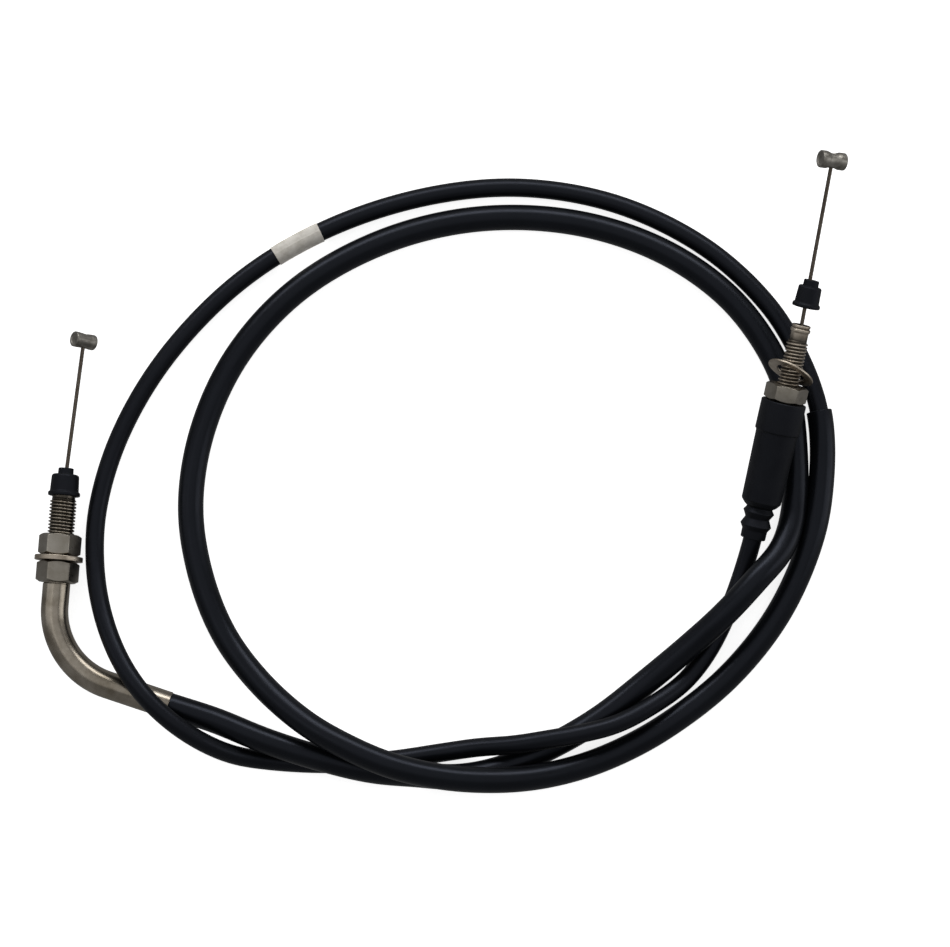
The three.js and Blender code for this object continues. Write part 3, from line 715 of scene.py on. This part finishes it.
def elbowPipe(values, columns=120):
    total = elbowLength
    radius, height = plainRows(mouthCorners(values), columns)
    radius, height = radius[filletSteps:-filletSteps], height[filletSteps:-filletSteps]
    threadEnds, fades = (values["threadTop"], values["threadFoot"]), (values["neck"], values["radius"])
    thread, threadHeight = threadRows(*threadEnds, values, *fades, columns)
    floor = total - values["socketDepth"]
    endCorners = [
        (values["radius"], total - 2, slightFillet),
        (values["radius"], total, 0.3),
        (values["socketRadius"], total, 0.2),
        (values["socketRadius"], floor, 0.1),
        (values["bore"], floor, 0.1),
        (values["bore"], floor - 1, slightFillet),
    ]
    endRadius, endDistance = plainRows(endCorners, columns)
    # Each stretch of rows starts and stops a little short of the next, so that none cross.
    threadEnd = values["mouth"] - values["threadFoot"]
    run = np.arange(threadEnd + 0.4, total - 2.1, values["row"])[:, None] + np.zeros(columns)
    boreEnd = mouthShape["boreDepth"] + 1
    back = np.arange(floor - 2, boreEnd, -values["boreRow"])[:, None] + np.zeros(columns)
    radii = [radius, thread, values["radius"] + 0 * run, endRadius, values["bore"] + 0 * back]
    distances = [values["mouth"] - height, values["mouth"] - threadHeight, run, endDistance, back]
    radii, distances = np.vstack(radii), np.vstack(distances)
    middle, tangent = elbowLine(distances[:, 0], values)
    side = np.stack([-tangent[:, 1], tangent[:, 0], 0 * middle[:, 0]], -1)
    angle = np.arange(columns) * 2 * np.pi / columns
    across = side[:, None] * np.cos(angle)[:, None] + np.array([0, 0, 1]) * np.sin(angle)[:, None]
    points = into(guide, (middle[:, None] + across * radii[..., None]) * mm)
    # Painted shade: full in the groove under the lip, and in the thread's roots by their depth.
    lipGroove = 1.0 * (radius < values["neck"])
    paintedShade = np.vstack([lipGroove, rootShade(thread, values), 0 * run, 0 * endRadius, 0 * back])
    pipe = skinPiece("guide_elbow", points, "pipe", "root", distances[:, 0] * mm, paintedShade=paintedShade)
    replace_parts(pipe, "elbow_pipe")


elbowPipe(pipeValues)

screwValues = {
    "bore": 2.7,
    "mouth": 26.3,
    "foot": -16,
    "threadRadius": 4.0,
    "threadTop": 20.5,
    "pitch": 1.25,
    "threadDepth": 0.62,
    "neck": 3.3,
    "footRadius": 3.6,
}


def adjusterScrew(values, columns=120):
    radius, height = plainRows(mouthCorners(values), columns)
    radius, height = radius[filletSteps:-filletSteps], height[filletSteps:-filletSteps]
    foot, footRadius = values["foot"], values["footRadius"]
    threadEnds, fades = (values["threadTop"], foot + 0.6), (values["neck"], footRadius)
    thread, threadHeight = threadRows(*threadEnds, values, *fades, columns)
    footCorners = [
        (footRadius, foot + 0.5, slightFillet),
        (footRadius - 0.1, foot, 0.2),
        (values["bore"], foot, 0.2),
        (values["bore"], foot + 2, slightFillet),
    ]
    footRadii, footHeight = plainRows(footCorners, columns)
    radii = np.vstack([radius, thread, footRadii])
    heights = np.vstack([height, threadHeight, footHeight])
    points = turned(radii, heights, adjuster, columns)
    # Painted shade: full in the groove under the lip, and in the thread's roots by their depth.
    lipGroove = 1.0 * (radius < values["neck"])
    paintedShade = np.vstack([lipGroove, rootShade(thread, values), 0 * footRadii])
    along = lengthsAlong(points[:, 0])
    screw = skinPiece("adjuster_stud", points, "turning", "adjuster", along, paintedShade=paintedShade)
    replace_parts(screw, "adjuster_screw")


adjusterScrew(screwValues)
print("threaded studs made")

nutValues = {
    "acrossFlats": 14,
    "chamferCircle": 13.3,
    "chamferAngle": 30,
    "boreChamfer": 0.6,
    "cornerSoftness": 0.018,
    "fillet": 0.12,
}
topNut = {"low": 1.2, "height": 7.8, "bore": 5.25, "swivel": 0}
lowNut = {"low": -9.0, "height": 7.8, "bore": 5.25, "swivel": 8}
adjusterNut = {"low": -2.7, "height": 6.2, "bore": 4.25, "swivel": 0}


# A chamfered hexagon nut. The six flats' distances are blended by a high power mean, so its corners are
# slightly soft, and each column's chamfer falls by (radius - chamfer radius) tan 30, which draws the arcs
# on the flats.
def hexNut(name, node, body, matrix, values, columns=180):
    angle = np.arange(columns) * 2 * np.pi / columns
    flats = np.radians(np.arange(30, 390, 60))
    power = 1 / nutValues["cornerSoftness"]
    facing = np.maximum(np.cos(angle[:, None] - flats), 0) ** power
    outer = nutValues["acrossFlats"] / 2 / facing.sum(1) ** (1 / power)
    circle = nutValues["chamferCircle"] / 2
    drop = (outer - circle) * np.tan(np.radians(nutValues["chamferAngle"]))
    bore, chamfer, fillet = values["bore"], nutValues["boreChamfer"], nutValues["fillet"]
    low, high = values["low"], values["low"] + values["height"]
    flat = 0 * outer
    corners = [
        (bore + flat, low + chamfer, 0.1),
        (bore + chamfer + flat, low, fillet),
        (circle + flat, low, fillet),
        (outer, low + drop, fillet),
        (outer, high - drop, fillet),
        (circle + flat, high, fillet),
        (bore + chamfer + flat, high, fillet),
        (bore + flat, high - chamfer, 0.1),
    ]
    corners = np.stack([np.stack([r, h + flat, f + flat], -1) for r, h, f in corners], 1)
    profile = rounded(corners, 4)
    place = matrix @ turn("y", values["swivel"])
    points = turned(profile[..., 0].T, profile[..., 1].T, place, columns)
    along = lengthsAlong(points[:, 0])
    nut = skinPiece(name, points, "nut", body, along, sharp=25)
    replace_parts(nut, node)


hexNut("guide_nut_top", "lock_nut_a_upper", "nut_a_upper", guide, topNut)
hexNut("guide_nut_low", "lock_nut_a_lower", "nut_a_lower", guide, lowNut)
hexNut("adjuster_nut", "lock_nut_b", "nut_b", adjuster, adjusterNut)

guideWasher = {"outer": 9.0, "hole": 5.25, "thickness": 1.8}
looseWasher = {"outer": 9.0, "hole": 5.5, "thickness": 0.8, "height": 8.2, "lean": (-17, -24)}


# A punched washer: rounded on the side the punch entered, nearly sharp on the other.
def washer(name, node, body, matrix, values):
    outer, hole, half = values["outer"], values["hole"], values["thickness"] / 2
    corners = [(hole, -half, 0.12), (outer, -half, 0.1), (outer, half, 0.35), (hole, half, 0.2)]
    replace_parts(turnedPiece(name, corners, matrix, "turning", body, 128), node)


leanAcross, leanAside = looseWasher["lean"]
leaning = adjuster @ lift(looseWasher["height"]) @ turn("z", leanAcross) @ turn("x", leanAside)
washer("guide_washer", "washer_a", "washer_a", guide, guideWasher)
washer("loose_washer", "washer_b", "washer_b", leaning, looseWasher)
print("nuts and washers made")


capValues = {"flange": 0.5, "flangeHeight": 1.3, "collar": 2.85, "collarHeight": 2.4, "hole": 2.05}
guideCap = {"low": 23.4, "length": 10.5, "radius": 5.5, "pocket": 4.85, "ceiling": 29.5}
adjusterCap = {"low": 32.9, "length": 10.3, "radius": 4.7, "pocket": 4.05, "ceiling": 39.8}


# A rubber cap: a rolled flange at the foot, a body that tapers up to a round shoulder, and a collar. The
# stud's mouth goes into its pocket, and the wire through the hole.
def dustCap(name, node, body, matrix, values):
    low, radius, pocket, ceiling = (values[key] for key in ("low", "radius", "pocket", "ceiling"))
    top = low + values["length"]
    shoulder = top - capValues["collarHeight"]
    flange, flangeTop = radius + capValues["flange"], low + capValues["flangeHeight"]
    collar, hole = capValues["collar"], capValues["hole"]
    corners = [
        (pocket, low, 0.2),
        (flange, low, 0.5),
        (flange, flangeTop, 0.6),
        (radius - 0.12, flangeTop + 0.45, 0.25),
        (radius - 0.4, shoulder, 2.2),
        (collar + 0.05, shoulder + 0.15, 0.25),
        (collar, top, 0.35),
        (hole, top, 0.3),
        (hole, ceiling, 0.2),
        (pocket, ceiling, 0.3),
    ]
    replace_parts(turnedPiece(name, corners, matrix, "rubber", body, 96, steps=8), node)


dustCap("guide_cap", "dust_cap_a", "cap_a", guide, guideCap)
dustCap("adjuster_cap", "dust_cap_b", "cap_b", adjuster, adjusterCap)

# The boot, down its outside from the top over two ribs, and back up its bore past the body's foot.
bootCorners = [
    (5.8, -3.0, 0.2),
    (8.4, -3.0, 0.5),
    (8.4, -14.35, 0.25),
    (7.85, -14.9, 0.2),
    (7.45, -41.1, 0.3),
    (6.1, -42.7, 0.3),
    (4.75, -43.7, 0.3),
    (5.85, -45.3, 0.15),
    (4.55, -47.7, 0.25),
    (5.85, -50.4, 0.15),
    (4.75, -52.2, 0.3),
    (4.7, -55.5, 0.4),
    (3.85, -55.5, 0.25),
    (3.85, -35.6, 0.3),
    (5.8, -34.6, 0.3),
]
boot = turnedPiece("bellows_boot", bootCorners, adjuster, "rubber", "root", 128, steps=7)
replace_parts(boot, "rubber_boot")

# The adjuster's hidden body: a pocket for the stud above, one for the casing's cup below, and a narrow
# hole between them.
bodyCorners = [
    (4.45, -34.0, 0.2),
    (5.5, -34.0, 0.3),
    (5.5, -3.0, 0.4),
    (4.25, -3.0, 0.3),
    (4.25, -19.0, 0.2),
    (2.6, -19.0, 0.1),
    (2.6, -21.0, 0.1),
    (4.45, -21.0, 0.2),
]
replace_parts(turnedPiece("threaded_body", bodyCorners, adjuster, "turning", "root"), "adjuster_body")


cupValues = {"length": 12.5, "outer": 4.2, "inner": 3.75, "hole": 1.6, "floor": 1, "adjusterTop": -21.3}


# A thin metal cup that ends the casing, open towards the casing, with a rounded edge at its floor.
def endCup(name, node, matrix, top):
    outer, inner, hole = cupValues["outer"], cupValues["inner"], cupValues["hole"]
    low, floor = top - cupValues["length"], top - cupValues["floor"]
    corners = [
        (inner, low, 0.15),
        (outer, low, 0.2),
        (outer, top, 0.5),
        (hole, top, 0.2),
        (hole, floor, 0.2),
        (inner, floor, 0.4),
    ]
    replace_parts(turnedPiece(name, corners, matrix, "turning", "root", 64), node)


# The leg's own place: at the pipe's end, with Y pointing back into the pipe.
intoLeg = guide @ turn("z", pipeValues["turn"])
intoLeg[:3, 3] = onLeg(0)
endCup("guide_end_cup", "casing_ferrule_a", intoLeg, cupValues["length"])
endCup("adjuster_end_cup", "casing_ferrule_b", adjuster, cupValues["adjusterTop"])
print("boot, caps and cups made")


wireValues = {
    "strands": 8,
    "lay": 11.0,
    "radius": 0.75,
    "depth": 0.17,
    "roundness": 0.7,  # a low power makes the strands' tops broad and the valleys narrow
    "row": 0.35,
    "foot": -21,
    "guide": {"lean": -2.85, "end": 55.4},
    "adjuster": {"lean": 2.4, "end": 64.0},
}


# A stranded wire: strands laid side by side round a core, so the radius swells as a power of |cos| of half
# the strand count times the turn less the height over the lay length.
def strandedWire(name, node, body, matrix, end, columns=96):
    height = np.arange(wireValues["foot"], end, wireValues["row"])[:, None]
    angle = np.arange(columns) * 2 * np.pi / columns
    phase = wireValues["strands"] / 2 * (angle - 2 * np.pi * height / wireValues["lay"])
    valley = 1 - np.abs(np.cos(phase)) ** wireValues["roundness"]
    rows = wireValues["radius"] - wireValues["depth"] * valley
    points = turned(rows, height, matrix, columns)
    wire = skinPiece(name, points, "strand", body, height[:, 0] * mm, True, sharp=60)
    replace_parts(wire, node)


barrelValues = {"dish": 0.35, "rim": 0.85, "dishSlope": 0.4, "neck": 0.9}
drillValues = {"radius": 1.05, "sink": 1.7, "reach": 8, "steps": 4, "columns": 40}
guideBarrel = {"radius": 2.9, "waist": 2.8, "length": 8.9, "disc": 1.8, "height": 53, "swivel": 39}
adjusterBarrel = {"radius": 3.25, "waist": 2.85, "length": 10.0, "disc": 2.6, "height": 61.5, "swivel": 25}


# The drill that the wire's hole is cut with: straight, and wider past the waist for the countersink.
def drillPoints(matrix, waist):
    radius, sink, reach, steps = (drillValues[key] for key in ("radius", "sink", "reach", "steps"))
    corners = [
        (0.0, -reach, slightFillet),
        (radius, -reach, slightFillet),
        (radius, waist - 0.7, 0.1),
        (sink, waist + 0.3, slightFillet),
        (sink, reach, slightFillet),
        (0.0, reach, slightFillet),
    ]
    profile = rounded(corners, steps)[steps:-steps]
    return turned(profile[:, :1], profile[:, 1:], matrix, drillValues["columns"])


# A cast barrel across the wire: a disc with a shallow dish at each end of a thinner waist, drilled for the
# wire, with a countersink at the far side.
def barrelNipple(name, node, body, wirePlace, values):
    matrix = wirePlace @ lift(values["height"]) @ turn("y", values["swivel"])
    radius, waist, disc, half = values["radius"], values["waist"], values["disc"], values["length"] / 2
    dishFloor, rim = barrelValues["dish"] - half, radius - barrelValues["rim"]
    corners = [
        (0.0, dishFloor, slightFillet),
        (rim - barrelValues["dishSlope"], dishFloor, 0.2),
        (rim, -half, 0.2),
        (radius, -half, 0.5),
        (radius, disc - half, 0.5),
        (waist, disc + barrelValues["neck"] - half, 0.6),
    ]
    corners += [(r, -height, fillet) for r, height, fillet in corners[::-1]]
    profile = rounded(corners)[filletSteps:-filletSteps]
    points = turned(profile[:, :1], profile[:, 1:], matrix @ turn("z", -90), 96)
    nipple = skinPiece(name, points, "zinc", body, poles=True)
    drill = skinPiece("drill", drillPoints(matrix, waist), "zinc", body, poles=True)
    cut = nipple.modifiers.new("hole", "BOOLEAN")
    cut.operation, cut.object, cut.solver = "DIFFERENCE", drill, "EXACT"
    graph = bpy.context.evaluated_depsgraph_get()
    drilled = bpy.data.meshes.new_from_object(nipple.evaluated_get(graph))
    nipple.modifiers.clear()
    nipple.data = drilled
    bpy.data.objects.remove(drill)
    drilled.set_sharp_from_angle(angle=np.radians(35))
    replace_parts(nipple, node)


wireA = guide @ lift(pipeValues["mouth"]) @ turn("z", wireValues["guide"]["lean"])
wireB = adjuster @ lift(screwValues["mouth"]) @ turn("z", wireValues["adjuster"]["lean"])
strandedWire("pull_wire_a", "inner_wire_end_a", "wire_a", wireA, wireValues["guide"]["end"])
strandedWire("pull_wire_b", "inner_wire_end_b", "wire_b", wireB, wireValues["adjuster"]["end"])
barrelNipple("barrel_a", "barrel_nipple_a", "wire_a", wireA, guideBarrel)
barrelNipple("barrel_b", "barrel_nipple_b", "wire_b", wireB, adjusterBarrel)
print("wires and barrels made")

studioValues = {
    "floor": "#F4F4F4",
    "floorHalf": 6.0,  # metres
    "roughness": 0.9,
    "glow": 0.8,
    "world": 0.22,
    "lights": {  # place, size across and along, brightness
        "top": ((0.0, 0.2, 2.3), (2.6, 2.2), 0.35),
        "far": ((0.0, 1.35, 0.8), (2.4, 0.55), 4.2),
        "left": ((-1.1, 0.1, 0.95), (0.45, 1.4), 0.6),
        "right": ((1.3, 0.0, 0.5), (0.5, 1.4), 1.2),
    },
}


def makeStudio(values):
    size = values["floorHalf"]
    corners = [(-size, -size, 0), (size, -size, 0), (size, size, 0), (-size, size, 0)]
    mesh = bpy.data.meshes.new("floor")
    mesh.from_pydata(corners, [], [(0, 1, 2, 3)])
    floor = bpy.data.objects.new("floor", mesh)
    paper = bpy.data.materials.new("white paper sweep")
    paper.use_nodes = True
    shader = paper.node_tree.nodes["Principled BSDF"]
    shader.inputs["Base Color"].default_value = linear(values["floor"])
    shader.inputs["Roughness"].default_value = values["roughness"]
    shader.inputs["Emission Color"].default_value = grey(1.0)
    shader.inputs["Emission Strength"].default_value = values["glow"]
    shader.inputs["Specular IOR Level"].default_value = 0.0
    mesh.materials.append(paper)
    bpy.context.collection.objects.link(floor)
    floor.visible_glossy = False  # a black tube shows no white rim from the paper under it
    world = bpy.data.worlds.new("studio")
    world.use_nodes = True
    world.node_tree.nodes["Background"].inputs["Strength"].default_value = values["world"]
    world.node_tree.nodes["Background"].inputs["Color"].default_value = grey(1.0)
    bpy.context.scene.world = world
    for name, (spot, (across, along), brightness) in values["lights"].items():
        data = bpy.data.lights.new(name, "AREA")
        data.shape, data.size, data.size_y = "RECTANGLE", across, along
        data.energy = brightness * np.pi * across * along  # an area light's brightness is power / (pi area)
        light = bpy.data.objects.new(name, data)
        light.location = spot
        light.rotation_euler = mathutils.Vector(spot).to_track_quat("Z", "Y").to_euler()
        bpy.context.collection.objects.link(light)
    bpy.context.scene.view_settings.view_transform = "Standard"


makeStudio(studioValues)
print("studio made")
